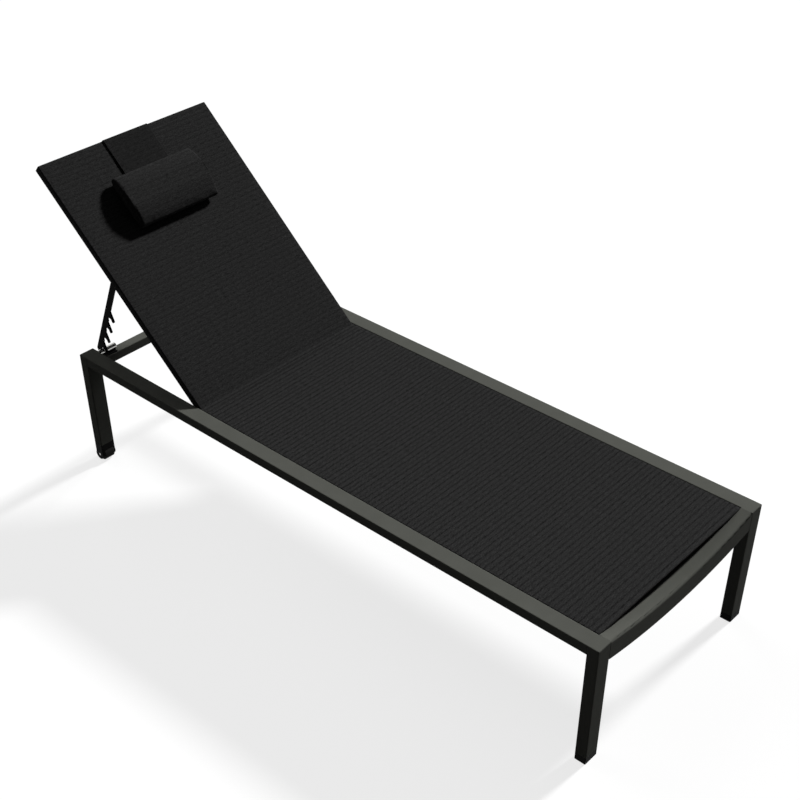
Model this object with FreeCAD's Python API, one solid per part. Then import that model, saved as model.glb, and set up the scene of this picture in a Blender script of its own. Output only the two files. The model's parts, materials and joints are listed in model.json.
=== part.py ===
"""Reclining sun lounger: tube frame, sling seat, propped backrest and sliding headrest.

Millimetres. While it is built, X runs from the head end of the base towards the foot end,
Y runs across it with 0 on the centre line, and Z is up from the floor. The finished pieces
are moved along X so that the origin lies under the middle of the whole lounger.
The right side is -Y. Backrest pieces are built lying flat, "along" millimetres from the
hinge towards the head and "lift" millimetres above the hinge axis, and then tilted up.
"""
import FreeCAD
import Part
import math
import os

V = FreeCAD.Vector

# Base frame
base_length = 1700.0
base_width = 650.0
base_height = 345.0
leg_depth = 30.0
leg_width = 44.0
side_rail_height = 26.0
head_rail_height = 26.0
foot_rail_height = 52.0
foot_rail_bow = 27.0
frame_wall = 2.0
frame_edge_radius = 2.5
foot_rail_edge_radius = 6.0
foot_ledge_depth = 25.0
foot_ledge_half_span = 235.0
leg_cap_thickness = 3.0
leg_plug_depth = 6.0
foot_cap_height = 20.0
foot_plug_depth = 25.0

# Side rail extrusion: a bead channel beside the main chamber
channel_zone = 10.0
channel_radius = 3.0
channel_mouth = 2.6
channel_depth = 5.0
sling_drop = 4.5
spline_radius = 2.1

# Seat sling and the bowed bars under it
sling_thickness = 1.2
seat_sling_head_x = 442.5
sling_foot_gap = 1.0
spreader_count = 3
spreader_first = 490.0
spreader_pitch = 400.0
spreader_depth = 30.0
spreader_height = 14.0
spreader_drop = 11.0
spreader_bow = 30.0
spreader_wall = 1.6
spreader_plug = 14.0
spreader_peg_radius = 4.0
spreader_peg_length = 6.0

# Corner blocks that join the rails to the legs
block_arm = 40.0
block_drop = 1.0
screw_radius = 2.5
screw_head_radius = 4.5
screw_head_height = 2.6
screw_length = 12.0
screw_inset = 20.0

# Wheels in the head-end legs
wheel_radius = 20.0
wheel_width = 32.0
wheel_edge_radius = 3.0
wheel_recess_depth = 2.5
wheel_rim = 5.0
wheel_hub_radius = 8.0
wheel_arch_gap = 2.0
wheel_cheek = 4.5
wheel_axle_radius = 4.0
wheel_housing_height = 55.0
wheel_axle_inset = 0.6

# Backrest
hinge_x = 433.0
hinge_drop = 13.0
backrest_angle = 42.0
backrest_length = 738.0
back_tube_width = 18.0
back_tube_height = 20.0
back_tube_wall = 1.6
back_tube_radius = 3.0
back_side_gap = 4.0
hinge_end_reach = 14.0
hinge_end_plug = 30.0
bottom_tube_along = 14.0
bottom_tube_depth = 18.0
mid_tube_along = 330.0
mid_tube_depth = 20.0
mid_tube_drop = 6.0
mid_tube_height = 14.0
back_sling_overlap = 1.0

# Hinge
bolt_radius = 4.0
bolt_head_radius = 7.0
bolt_head_height = 4.5
bush_wall = 2.0
nut_radius = 7.0
nut_height = 6.0
spacer_radius = 9.0

# Notched props and what catches them
prop_pivot_along = 415.2
prop_angle = 245.5
prop_thickness = 5.0
prop_gap = 1.5
prop_half_width = 9.0
prop_reach = 306.0
notch_count = 4
notch_pitch = 41.5
notch_last = 299.1
notch_offset = 15.5
notch_radius = 9.4
notch_lean = 21.8
prong_width = 7.0
prong_length = 3.0
cross_tube_along = 45.0
cross_tube_radius = 7.0
cross_tube_wall = 1.5
cross_tube_plug = 14.0
spigot_radius = 4.0
catch_pin_radius = 8.0
catch_pin_length = 63.0
catch_base_thickness = 3.0
catch_base_margin = 1.5
catch_saddle_width = 16.0
catch_saddle_length = 17.0
catch_inner_overhang = 4.0
buffer_length = 28.0
buffer_width = 13.0
buffer_thickness = 3.0

# Headrest: pillow, strap over the top, weighted tail behind
pillow_along = 557.0
pillow_length = 154.0
pillow_width = 262.0
pillow_height = 39.0
pillow_edge_lift = 18.0
pillow_flat = 66.0
pillow_end_height = 33.0
pillow_end_lift = 12.0
pillow_end_slope = 30.0
strap_width = 143.0
strap_thickness = 1.2
strap_front_end = 622.0
strap_back_end = 640.0
flap_start = 540.0
flap_end = 706.0
tail_end = 677.0
weight_along = 540.0
weight_length = 62.0
weight_depth = 22.0
weight_bar_radius = 7.0
weight_bar_length = 120.0

# Clearances
fit_gap = 0.05
part_gap = 0.3
pin_gap = 0.5
rail_gap = 0.1

# Smallest rounding inside a tube, and how close two directions or places count as the same
least_inner_radius = 0.4
same_direction = 0.01
same_place = 0.01

# Places that follow from the sizes above
outer_y = base_width / 2
inner_y = outer_y - leg_width
hinge_z = base_height - hinge_drop
foot_leg_x = base_length - leg_depth
side_rail_bottom = base_height - side_rail_height
head_rail_top = side_rail_bottom
head_rail_bottom = head_rail_top - head_rail_height
sling_z = base_height - sling_drop
seat_sling_foot_x = foot_leg_x - sling_foot_gap
tube_outer_y = inner_y - back_side_gap
tube_inner_y = tube_outer_y - back_tube_width
tube_half = back_tube_height / 2
prop_outer_y = tube_inner_y - prop_gap
prop_inner_y = prop_outer_y - prop_thickness
top_tube_along = backrest_length - back_tube_height
plug_radius = frame_edge_radius - frame_wall / 2
back_inner_radius = back_tube_radius - back_tube_wall / 2
hinge_axis = V(hinge_x, 0, hinge_z)
pivot = V(hinge_x - prop_pivot_along * math.cos(math.radians(backrest_angle)), 0,
          hinge_z + prop_pivot_along * math.sin(math.radians(backrest_angle)))
prop_down = V(math.cos(math.radians(prop_angle)), 0, math.sin(math.radians(prop_angle)))
prop_side = V(-prop_down.z, 0, prop_down.x)
catch_pin = pivot + prop_down * notch_last + prop_side * notch_offset

axes = {"x": V(1, 0, 0), "y": V(0, 1, 0), "z": V(0, 0, 1)}
nodes = {}


def block(x0, x1, y0, y1, z0, z1):
    """Box between two corners."""
    return Part.makeBox(x1 - x0, y1 - y0, z1 - z0, V(x0, y0, z0))


def rod(axis, centre, radius, start, end):
    """Round bar along "x", "y" or "z" from start to end on that axis."""
    foot = V(*centre)
    setattr(foot, axis, start)
    return Part.makeCylinder(radius, end - start, foot, axes[axis])


def hexagon(axis, centre, radius, start, end):
    """Hexagonal nut blank along an axis."""
    along = axes[axis]
    first = V(0, 0, radius) if axis != "z" else V(radius, 0, 0)
    foot = V(*centre)
    setattr(foot, axis, start)
    turn = FreeCAD.Rotation(along, 60)
    corners = [first]
    for _ in range(5):
        corners.append(turn.multVec(corners[-1]))
    wire = Part.makePolygon([foot + corner for corner in corners + corners[:1]])
    return Part.Face(wire).extrude(along * (end - start))


def rounded(shape, axis, radius):
    """Round the straight edges that run along an axis."""
    edges = []
    for edge in shape.Edges:
        if edge.Curve.TypeId == "Part::GeomLine":
            if edge.Curve.Direction.cross(axes[axis]).Length < same_direction:
                edges.append(edge)
    return shape.makeFillet(radius, edges)


def tube(axis, x0, x1, y0, y1, z0, z1, wall, radius):
    """Rounded rectangular tube, open at both ends."""
    outside = rounded(block(x0, x1, y0, y1, z0, z1), axis, radius)
    inset = {name: wall for name in "xyz"}
    inset[axis] = 0.0
    inside = block(x0 + inset["x"], x1 - inset["x"], y0 + inset["y"], y1 - inset["y"],
                   z0 + inset["z"], z1 - inset["z"])
    return outside.cut(rounded(inside, axis, max(radius - wall, least_inner_radius)))


def bowed_band(x0, x1, half_span, top, height, bow):
    """Bar across the frame whose middle hangs lower than its ends by the bow."""
    upper = Part.Arc(V(x0, -half_span, top), V(x0, 0, top - bow), V(x0, half_span, top))
    lower = Part.Arc(V(x0, half_span, top - height), V(x0, 0, top - height - bow),
                     V(x0, -half_span, top - height))
    right = Part.LineSegment(V(x0, -half_span, top - height), V(x0, -half_span, top))
    left = Part.LineSegment(V(x0, half_span, top), V(x0, half_span, top - height))
    wire = Part.Wire([item.toShape() for item in (right, upper, left, lower)])
    return Part.Face(wire).extrude(V(x1 - x0, 0, 0))


def round_arcs(band, x, radius, upper_only=False):
    """Round the long curved edges of a bowed bar on the face at x."""
    middle = sum(vertex.Point.z for vertex in band.Vertexes) / len(band.Vertexes)
    edges = []
    for edge in band.Edges:
        on_face = all(abs(vertex.Point.x - x) < same_place for vertex in edge.Vertexes)
        is_arc = edge.Curve.TypeId == "Part::GeomCircle"
        is_upper = edge.Vertexes[0].Point.z > middle
        if on_face and is_arc and (is_upper or not upper_only):
            edges.append(edge)
    return band.makeFillet(radius, edges)


def bowed_tube(x0, x1, half_span, top, height, bow, wall):
    """Outside and inside of a hollow bowed bar, still to be cut from each other."""
    outside = bowed_band(x0, x1, half_span, top, height, bow)
    inside = bowed_band(x0 + wall, x1 - wall, half_span, top - wall, height - 2 * wall, bow)
    return outside, inside


def mirrored(shape):
    """The same piece on the other side of the centre line."""
    return shape.mirror(V(0, 0, 0), V(0, 1, 0))


def tilted(shape):
    """Turn a piece built lying flat up to the backrest's angle."""
    copy = shape.copy()
    copy.rotate(hinge_axis, V(0, 1, 0), backrest_angle)
    return copy


def back_block(along0, along1, y0, y1, lift0, lift1):
    """Box in the backrest's own directions, still lying flat."""
    return block(hinge_x - along1, hinge_x - along0, y0, y1, hinge_z + lift0, hinge_z + lift1)


def back_tube(axis, along0, along1, y0, y1, lift0, lift1):
    """Backrest tube, still lying flat."""
    return tube(axis, hinge_x - along1, hinge_x - along0, y0, y1, hinge_z + lift0,
                hinge_z + lift1, back_tube_wall, back_tube_radius)


def add(name, *shapes):
    """Keep one or more separate solids as a node."""
    solids = [solid for shape in shapes for solid in shape.Solids]
    nodes[name] = Part.makeCompound(solids)


def add_pair(name, right_shape):
    """Keep a piece of the right side and its mirror image as two nodes."""
    add(name + "_right", right_shape)
    add(name + "_left", mirrored(right_shape))


def add_both(name, *right_shapes):
    """Keep the pieces of the right side and their mirror images as one node."""
    add(name, *right_shapes, *[mirrored(shape) for shape in right_shapes])


def leg_plug(leg_x, bottom, top):
    """Block that fills the inside of a leg tube between two heights."""
    core = block(leg_x + frame_wall + rail_gap, leg_x + leg_depth - frame_wall - rail_gap,
                 -outer_y + frame_wall + rail_gap, -inner_y - frame_wall - rail_gap, bottom, top)
    return rounded(core, "z", plug_radius)


def corner_arms(leg_x, side_arm_x, cross_bottom, cross_top, gap):
    """Arms of a right-hand corner block: one for the side rail and one for the cross rail."""
    side_arm = block(side_arm_x[0], side_arm_x[1], -outer_y + frame_wall + rail_gap - gap,
                     -inner_y - channel_zone - rail_gap + gap,
                     side_rail_bottom + frame_wall + rail_gap - gap, block_top + gap)
    cross_arm = block(leg_x + frame_wall + rail_gap - gap,
                      leg_x + leg_depth - frame_wall - rail_gap + gap,
                      -inner_y - leg_width / 2, -inner_y + block_arm,
                      cross_bottom + rail_gap - gap, cross_top - rail_gap + gap)
    return side_arm, rounded(cross_arm, "y", plug_radius)


def corner_block(leg_x, side_arm_x, cross_bottom, cross_top):
    """Cast block that fills a leg's top and reaches into both rails."""
    core = leg_plug(leg_x, cross_bottom + rail_gap, block_top)
    arms = corner_arms(leg_x, side_arm_x, cross_bottom, cross_top, 0.0)
    return core.fuse(list(arms)).removeSplitter()


def screw(axis, head_at, direction, radius, length, head_radius, head_height):
    """Screw or bolt whose head rests on the point head_at, its shank going in one direction."""
    start = getattr(head_at, axis)
    tip = start + direction * length
    back = start - direction * head_height
    centre = (head_at.x, head_at.y, head_at.z)
    shank = rod(axis, centre, radius, min(start, tip), max(start, tip))
    head = rod(axis, centre, head_radius, min(start, back), max(start, back))
    return shank.fuse(head).removeSplitter()


def ring(axis, centre, inner, outer, start, end):
    """Washer, bush or spacer."""
    return rod(axis, centre, outer, start, end).cut(rod(axis, centre, inner, start, end))


def arc_drop(y, half_span, bow):
    """How far a bowed bar has dropped below its ends at a distance y from the middle."""
    radius = (half_span ** 2 + bow ** 2) / (2 * bow)
    return bow - radius + math.sqrt(radius ** 2 - y ** 2)


# ---- Base frame -------------------------------------------------------------------------

block_top = base_height - leg_cap_thickness - leg_plug_depth - block_drop
channel_y = -inner_y - channel_depth
head_side_arm_x = (leg_depth / 2, leg_depth + block_arm)
foot_side_arm_x = (foot_leg_x - block_arm, foot_leg_x + leg_depth / 2)
head_cross = (head_rail_bottom + frame_wall, head_rail_top - frame_wall)
foot_cross = (base_height - foot_rail_height + frame_wall,
              base_height - frame_wall - arc_drop(inner_y - block_arm, inner_y, foot_rail_bow))
spreader_positions = [spreader_first + number * spreader_pitch
                      for number in range(spreader_count)]
spreader_peg_z = base_height - spreader_drop - spreader_height / 2
spreader_centres = [x + spreader_depth / 2 for x in spreader_positions]
side_screw_y = -outer_y + leg_width / 2


def side_rail():
    """Right side rail: two chambers and a bead channel open towards the sling."""
    x0 = leg_depth
    x1 = foot_leg_x
    rail = rounded(block(x0, x1, -outer_y, -inner_y, side_rail_bottom, base_height), "x",
                   frame_edge_radius)
    main_chamber = block(x0, x1, -outer_y + frame_wall, -inner_y - channel_zone,
                         side_rail_bottom + frame_wall, base_height - frame_wall)
    lower_chamber = block(x0, x1, -inner_y - channel_zone + frame_wall, -inner_y - frame_wall,
                          side_rail_bottom + frame_wall,
                          sling_z - channel_radius - frame_wall)
    channel = rod("x", (0, channel_y, sling_z), channel_radius, x0, x1)
    mouth = block(x0, x1, channel_y, -inner_y, sling_z - channel_mouth / 2,
                  sling_z + channel_mouth / 2)
    rail = rail.cut([main_chamber, lower_chamber, channel, mouth])
    holes = [rod("y", (hinge_x, 0, hinge_z), bolt_radius + fit_gap,
                 -inner_y - channel_zone - frame_wall, -inner_y)]
    for x in spreader_centres:
        holes.append(rod("y", (x, 0, spreader_peg_z), spreader_peg_radius + fit_gap,
                         -inner_y - frame_wall, -inner_y))
    for x in (leg_depth + screw_inset, foot_leg_x - screw_inset):
        holes.append(rod("z", (x, side_screw_y, 0), screw_radius + fit_gap,
                         side_rail_bottom, side_rail_bottom + frame_wall))
    return rail.cut(holes)


def leg(leg_x, bottom, side_arm_x, cross):
    """Right-hand leg tube with windows for the corner block's arms."""
    shell = tube("z", leg_x, leg_x + leg_depth, -outer_y, -inner_y, bottom,
                 base_height - leg_cap_thickness, frame_wall, frame_edge_radius)
    return shell.cut(list(corner_arms(leg_x, side_arm_x, cross[0], cross[1], part_gap)))


def leg_top_cap(leg_x, end_x):
    """Cap that closes a leg level with the rails, rounded at the frame's outer corner."""
    corner = V(end_x, -outer_y, base_height)
    plate = block(leg_x, leg_x + leg_depth, -outer_y, -inner_y,
                  base_height - leg_cap_thickness, base_height)
    edges = [edge for edge in plate.Edges
             if any((vertex.Point - corner).Length < same_place for vertex in edge.Vertexes)]
    plug = leg_plug(leg_x, base_height - leg_cap_thickness - leg_plug_depth,
                    base_height - leg_cap_thickness)
    return plate.makeFillet(frame_edge_radius, edges).fuse(plug).removeSplitter()


def foot_cap():
    """Plastic foot under a foot-end leg, plugged into the tube."""
    shoe = rounded(block(foot_leg_x, base_length, -outer_y, -inner_y, 0, foot_cap_height), "z",
                   frame_edge_radius)
    plug = leg_plug(foot_leg_x, foot_cap_height, foot_cap_height + foot_plug_depth)
    return shoe.fuse(plug).removeSplitter()


def wheel_housing():
    """Fork in the end of a head-end leg: two cheeks rounded below the wheel's axle."""
    middle = leg_depth / 2
    cheeks = block(0, leg_depth, -outer_y, -inner_y, wheel_radius, wheel_housing_height)
    cheeks = rounded(cheeks, "z", frame_edge_radius)
    lower = rod("y", (middle, 0, wheel_radius), middle, -outer_y, -inner_y)
    plug = leg_plug(0, wheel_housing_height, wheel_housing_height + foot_plug_depth)
    arch_radius = wheel_radius + wheel_arch_gap
    cheek_outer = -outer_y + wheel_cheek
    cheek_inner = -inner_y - wheel_cheek
    arch = rod("y", (middle, 0, wheel_radius), arch_radius, cheek_outer, cheek_inner)
    below = block(-leg_depth, 2 * leg_depth, cheek_outer, cheek_inner, -wheel_radius,
                  wheel_radius)
    axle_hole = rod("y", (middle, 0, wheel_radius), wheel_axle_radius + fit_gap, -outer_y,
                    -inner_y)
    return cheeks.fuse([lower, plug]).cut([arch, below, axle_hole]).removeSplitter()


def wheel():
    """Right-hand wheel with a recess on each side between rim and hub."""
    middle_y = -(outer_y + inner_y) / 2
    centre = (leg_depth / 2, 0, wheel_radius)
    start = middle_y - wheel_width / 2
    end = middle_y + wheel_width / 2
    body = rod("y", centre, wheel_radius, start, end)
    rims = [edge for edge in body.Edges if edge.Curve.TypeId == "Part::GeomCircle"]
    body = body.makeFillet(wheel_edge_radius, rims)
    rim_inner = wheel_radius - wheel_rim
    recesses = [ring("y", centre, wheel_hub_radius, rim_inner, start,
                     start + wheel_recess_depth),
                ring("y", centre, wheel_hub_radius, rim_inner, end - wheel_recess_depth, end)]
    return body.cut(recesses + [rod("y", centre, wheel_axle_radius + fit_gap, start, end)])


add_pair("side_rail", side_rail())
add_pair("leg_head", leg(0.0, wheel_housing_height, head_side_arm_x, head_cross))
add_pair("leg_foot", leg(foot_leg_x, foot_cap_height, foot_side_arm_x, foot_cross))
add_both("leg_top_caps", leg_top_cap(0.0, 0.0), leg_top_cap(foot_leg_x, base_length))
add_both("foot_caps", foot_cap())
add_pair("wheel_housing", wheel_housing())
add_both("wheel_axles", rod("y", (leg_depth / 2, 0, wheel_radius), wheel_axle_radius,
                            -outer_y + wheel_axle_inset, -inner_y - wheel_axle_inset))
add_pair("wheel", wheel())
add_both("corner_blocks_head", corner_block(0.0, head_side_arm_x, *head_cross))
add_both("corner_blocks_foot", corner_block(foot_leg_x, foot_side_arm_x, *foot_cross))

head_screw_y = -inner_y + screw_inset
head_rail = tube("y", 0, leg_depth, -inner_y, inner_y, head_rail_bottom, head_rail_top,
                 frame_wall, frame_edge_radius)
head_rail_hole = rod("z", (leg_depth / 2, head_screw_y, 0), screw_radius + fit_gap,
                     head_rail_bottom, head_rail_bottom + frame_wall)
add("head_rail", head_rail.cut([head_rail_hole, mirrored(head_rail_hole)]))

foot_outside, foot_inside = bowed_tube(foot_leg_x, base_length, inner_y, base_height,
                                       foot_rail_height, foot_rail_bow, frame_wall)
foot_outside = round_arcs(foot_outside, base_length, foot_rail_edge_radius, True)
ledge_x = foot_leg_x - foot_ledge_depth
ledge_outside, ledge_inside = bowed_tube(ledge_x, foot_leg_x + frame_wall, inner_y, base_height,
                                         foot_rail_height, foot_rail_bow, frame_wall)
ledge_reach = block(ledge_x, foot_leg_x, -foot_ledge_half_span, foot_ledge_half_span, 0,
                    base_height)
foot_ledge = ledge_outside.cut(ledge_inside).common(ledge_reach)
foot_screw_z = (foot_cross[0] + foot_cross[1]) / 2
foot_rail_hole = rod("x", (0, head_screw_y, foot_screw_z), screw_radius + fit_gap,
                     foot_leg_x, foot_leg_x + frame_wall)
foot_rail = foot_outside.cut([foot_inside, foot_rail_hole, mirrored(foot_rail_hole)])
add("foot_rail", foot_rail.fuse(foot_ledge).removeSplitter())

frame_screws = [screw("z", V(x, side_screw_y, side_rail_bottom), 1, screw_radius,
                      screw_length, screw_head_radius, screw_head_height)
                for x in (leg_depth + screw_inset, foot_leg_x - screw_inset)]
frame_screws.append(screw("z", V(leg_depth / 2, head_screw_y, head_rail_bottom), 1,
                          screw_radius, screw_length, screw_head_radius, screw_head_height))
frame_screws.append(screw("x", V(foot_leg_x, head_screw_y, foot_screw_z), 1, screw_radius,
                          screw_length, screw_head_radius, screw_head_height))
frame_screw_holes = Part.makeCompound(frame_screws + [mirrored(item) for item in frame_screws])
for name in ("corner_blocks_head", "corner_blocks_foot"):
    add(name, nodes[name].cut(frame_screw_holes))
add_both("frame_screws", *frame_screws)

# ---- Seat: sling, its bead rods and the bars that spread the rails ---------------------

add("seat_sling", block(seat_sling_head_x, seat_sling_foot_x,
                        channel_y + spline_radius + part_gap,
                        -channel_y - spline_radius - part_gap,
                        sling_z - sling_thickness / 2, sling_z + sling_thickness / 2))
add_both("seat_splines", rod("x", (0, channel_y, sling_z), spline_radius,
                             seat_sling_head_x, seat_sling_foot_x))

spreader_top = base_height - spreader_drop
plugs = []
for number, x in enumerate(spreader_positions, 1):
    bar_outside, bar_inside = bowed_tube(x, x + spreader_depth, inner_y, spreader_top,
                                         spreader_height, spreader_bow, spreader_wall)
    bar_outside = round_arcs(bar_outside, x + spreader_depth, frame_edge_radius)
    add("seat_spreader_%d" % number, bar_outside.cut(bar_inside))
    plug_bottom = spreader_top - spreader_height + spreader_wall + rail_gap
    plug_top = (spreader_top - spreader_wall - rail_gap
                - arc_drop(inner_y - spreader_plug, inner_y, spreader_bow))
    plug = block(x + spreader_wall + rail_gap, x + spreader_depth - spreader_wall - rail_gap,
                 -inner_y, -inner_y + spreader_plug, plug_bottom, plug_top)
    peg = rod("y", (x + spreader_depth / 2, 0, spreader_peg_z), spreader_peg_radius,
              -inner_y - spreader_peg_length, -inner_y + spreader_plug / 2)
    plugs.append(plug.fuse(peg).removeSplitter())
add_both("spreader_plugs", *plugs)

# ---- Hinges -----------------------------------------------------------------------------

hinge_centre = (hinge_x, 0, hinge_z)
nut_face_y = -inner_y - channel_zone
hinge_head_y = -tube_inner_y + part_gap
add_both("hinge_bolts", screw("y", V(hinge_x, hinge_head_y, hinge_z), -1, bolt_radius,
                              hinge_head_y - nut_face_y + nut_height, bolt_head_radius,
                              bolt_head_height))
add_both("hinge_nuts", hexagon("y", hinge_centre, nut_radius, nut_face_y - nut_height,
                               nut_face_y).cut(
    rod("y", hinge_centre, bolt_radius + fit_gap, nut_face_y - nut_height, nut_face_y)))
add_both("hinge_spacers", ring("y", hinge_centre, bolt_radius + fit_gap, spacer_radius,
                               -inner_y, -tube_outer_y - part_gap))
bush_inner = bolt_radius + fit_gap
bush_outer = bush_inner + bush_wall
add_both("hinge_bushes", ring("y", hinge_centre, bush_inner, bush_outer, -tube_outer_y,
                              -tube_inner_y))


def hinge_end():
    """Rounded casting that closes the foot of a backrest tube around the hinge bolt."""
    radius = tube_half - part_gap
    head = rod("y", hinge_centre, radius, -tube_outer_y, -tube_inner_y)
    neck = back_block(0, hinge_end_reach, -tube_outer_y, -tube_inner_y, -radius, radius)
    side = back_tube_wall + rail_gap
    plug = back_block(hinge_end_reach, hinge_end_reach + hinge_end_plug, -tube_outer_y + side,
                      -tube_inner_y - side, -tube_half + side, tube_half - side)
    plug = rounded(plug, "x", back_inner_radius)
    hole = rod("y", hinge_centre, bush_outer + fit_gap, -tube_outer_y, -tube_inner_y)
    return head.fuse([neck, plug]).cut(hole).removeSplitter()


add_both("back_hinge_ends", tilted(hinge_end()))

# ---- Backrest frame and sling -------------------------------------------------------------


def back_side_tube():
    """Right side tube of the backrest with the hole for the prop's pivot bolt."""
    rail = back_tube("x", hinge_end_reach, top_tube_along, -tube_outer_y, -tube_inner_y,
                     -tube_half, tube_half)
    hole = rod("y", (hinge_x - prop_pivot_along, 0, hinge_z), bolt_radius + fit_gap,
               -tube_inner_y - back_tube_wall, -tube_inner_y)
    return rail.cut(hole)


def back_sling():
    """Sling that covers the frame and wraps round its sides and its top edge."""
    half_width = tube_outer_y + sling_thickness
    end = backrest_length + sling_thickness
    under = -tube_half - sling_thickness
    top = back_block(-back_sling_overlap, end, -half_width, half_width, tube_half,
                     tube_half + sling_thickness)
    side = back_block(hinge_end_reach, end, -half_width, -tube_outer_y, under, tube_half)
    hem = back_block(hinge_end_reach, end, -half_width, -tube_inner_y, under, -tube_half)
    cap = back_block(backrest_length, end, -half_width, half_width, under, tube_half)
    top_hem = back_block(top_tube_along, end, -half_width, half_width, under, -tube_half)
    parts = [side, hem, mirrored(side), mirrored(hem), cap, top_hem]
    return top.fuse(parts).removeSplitter()


add_pair("back_side_tube", tilted(back_side_tube()))
add("back_top_tube", tilted(back_tube("y", top_tube_along, backrest_length, -tube_outer_y,
                                      tube_outer_y, -tube_half, tube_half)))
add("back_bottom_tube", tilted(back_tube("y", bottom_tube_along,
                                         bottom_tube_along + bottom_tube_depth,
                                         -tube_inner_y, tube_inner_y, -tube_half, tube_half)))
mid_tube_top = tube_half - mid_tube_drop
add("back_mid_tube", tilted(back_tube("y", mid_tube_along, mid_tube_along + mid_tube_depth,
                                      -tube_inner_y, tube_inner_y,
                                      mid_tube_top - mid_tube_height, mid_tube_top)))
add("back_sling", tilted(back_sling()))

# ---- Props, their pivots and the pins that catch them --------------------------------------

pivot_x = hinge_x - prop_pivot_along
pivot_centre = (pivot_x, 0, hinge_z)
pivot_head_y = -prop_inner_y + part_gap
pivot_nut_y = -tube_inner_y - back_tube_wall
add_both("prop_pivot_bolts", tilted(screw("y", V(pivot_x, pivot_head_y, hinge_z), -1,
                                          bolt_radius,
                                          pivot_head_y - pivot_nut_y + nut_height,
                                          bolt_head_radius, bolt_head_height)))
add_both("prop_pivot_nuts", tilted(hexagon("y", pivot_centre, nut_radius,
                                           pivot_nut_y - nut_height, pivot_nut_y).cut(
    rod("y", pivot_centre, bolt_radius + fit_gap, pivot_nut_y - nut_height, pivot_nut_y))))
add_both("prop_spacers", tilted(ring("y", pivot_centre, bolt_radius + fit_gap, spacer_radius,
                                     -tube_inner_y, -prop_outer_y - part_gap)))
add_both("prop_bushes", ring("y", (pivot.x, 0, pivot.z), bush_inner, bush_outer,
                             -prop_outer_y, -prop_inner_y))


def prop_slab(origin, direction, start, end, side0, side1):
    """Strip of the right prop's plate along a direction, side0 to side1 beside it."""
    side = V(-direction.z, 0, direction.x)
    corners = []
    for along, across in ((start, side0), (end, side0), (end, side1), (start, side1)):
        point = origin + direction * along + side * across
        corners.append(V(point.x, -prop_outer_y, point.z))
    return Part.Face(Part.makePolygon(corners + corners[:1])).extrude(V(0, prop_thickness, 0))


def prop_disc(centre, radius):
    """Round patch of the right prop's plate."""
    return rod("y", (centre.x, 0, centre.z), radius, -prop_outer_y, -prop_inner_y)


def notch_centre(number):
    """Where the catch pin sits in a notch, counted from 0 at the pivot's end."""
    along = notch_last - notch_pitch * (notch_count - 1 - number)
    return pivot + prop_down * along + prop_side * notch_offset


def prop_rack():
    """Flat notched strip: hooks on its foot side open downwards over the catch pin."""
    lean = math.radians(notch_lean)
    mouth = V(math.sin(lean), 0, -math.cos(lean))
    spread = math.radians(270.0 + notch_lean - prop_angle)
    root = (notch_offset + prop_half_width / 2) / math.sin(spread)
    hook_outer = notch_radius + prong_width
    plate = prop_slab(pivot, prop_down, 0, prop_reach, -prop_half_width, prop_half_width)
    ends = [prop_disc(pivot, prop_half_width),
            prop_disc(pivot + prop_down * prop_reach, prop_half_width)]
    hooks = []
    cuts = []
    for number in range(notch_count):
        centre = notch_centre(number)
        side = V(-mouth.z, 0, mouth.x)
        hooks.append(prop_slab(centre, mouth, -root, prong_length, 0, hook_outer))
        hooks.append(prop_disc(centre + mouth * prong_length
                               + side * (notch_radius + prong_width / 2), prong_width / 2))
        cuts.append(prop_disc(centre, notch_radius))
        cuts.append(prop_slab(centre, mouth, 0, notch_pitch, -notch_radius, notch_radius))
    cuts.append(prop_disc(pivot, bush_outer + fit_gap))
    cuts.append(prop_disc(pivot + prop_down * cross_tube_along, spigot_radius + fit_gap))
    return plate.fuse(ends + hooks).cut(cuts).removeSplitter()


def cross_tube_end(centre):
    """Turned end on the right of the cross tube: a plug in its bore and a spigot in the plate."""
    plug = rod("y", centre, cross_tube_radius - cross_tube_wall - fit_gap, -prop_inner_y,
               -prop_inner_y + cross_tube_plug)
    return plug.fuse(rod("y", centre, spigot_radius, -prop_outer_y, -prop_inner_y))


def catch_bracket():
    """Base on the head rail with a saddle under each half of the right catch pin."""
    base = block(catch_base_margin, leg_depth - catch_base_margin, -inner_y,
                 -catch_inner_y - catch_inner_overhang, head_rail_top,
                 head_rail_top + catch_base_thickness)
    x0 = catch_pin.x - catch_saddle_width / 2
    x1 = catch_pin.x + catch_saddle_width / 2
    outer_saddle = block(x0, x1, -inner_y, -inner_y + catch_saddle_length, head_rail_top,
                         catch_pin.z)
    inner_saddle = block(x0, x1, -catch_inner_y - catch_inner_overhang - catch_saddle_length,
                         -catch_inner_y - catch_inner_overhang, head_rail_top, catch_pin.z)
    seat = rod("y", (catch_pin.x, 0, catch_pin.z), catch_pin_radius + fit_gap, -inner_y, 0)
    return base.fuse([outer_saddle, inner_saddle]).cut(seat).removeSplitter()


catch_inner_y = inner_y - catch_pin_length
catch_place = (catch_pin.x, 0, catch_pin.z)
outer_stub = rod("y", catch_place, catch_pin_radius, -inner_y, -prop_outer_y - pin_gap)
inner_stub = rod("y", catch_place, catch_pin_radius, -prop_inner_y + pin_gap, -catch_inner_y)
add_pair("prop_rack", prop_rack())
cross_tube_place = pivot + prop_down * cross_tube_along
cross_tube_centre = (cross_tube_place.x, 0, cross_tube_place.z)
add("prop_cross_tube", ring("y", cross_tube_centre, cross_tube_radius - cross_tube_wall,
                            cross_tube_radius, -prop_inner_y, prop_inner_y))
add_both("cross_tube_ends", cross_tube_end(cross_tube_centre))
add_pair("catch_bracket", catch_bracket())
add_both("catch_pins", outer_stub, inner_stub)
buffer_along = hinge_x - catch_pin.x
buffer_middle_y = -(tube_outer_y + tube_inner_y) / 2
buffer_top = -tube_half - sling_thickness
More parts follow.
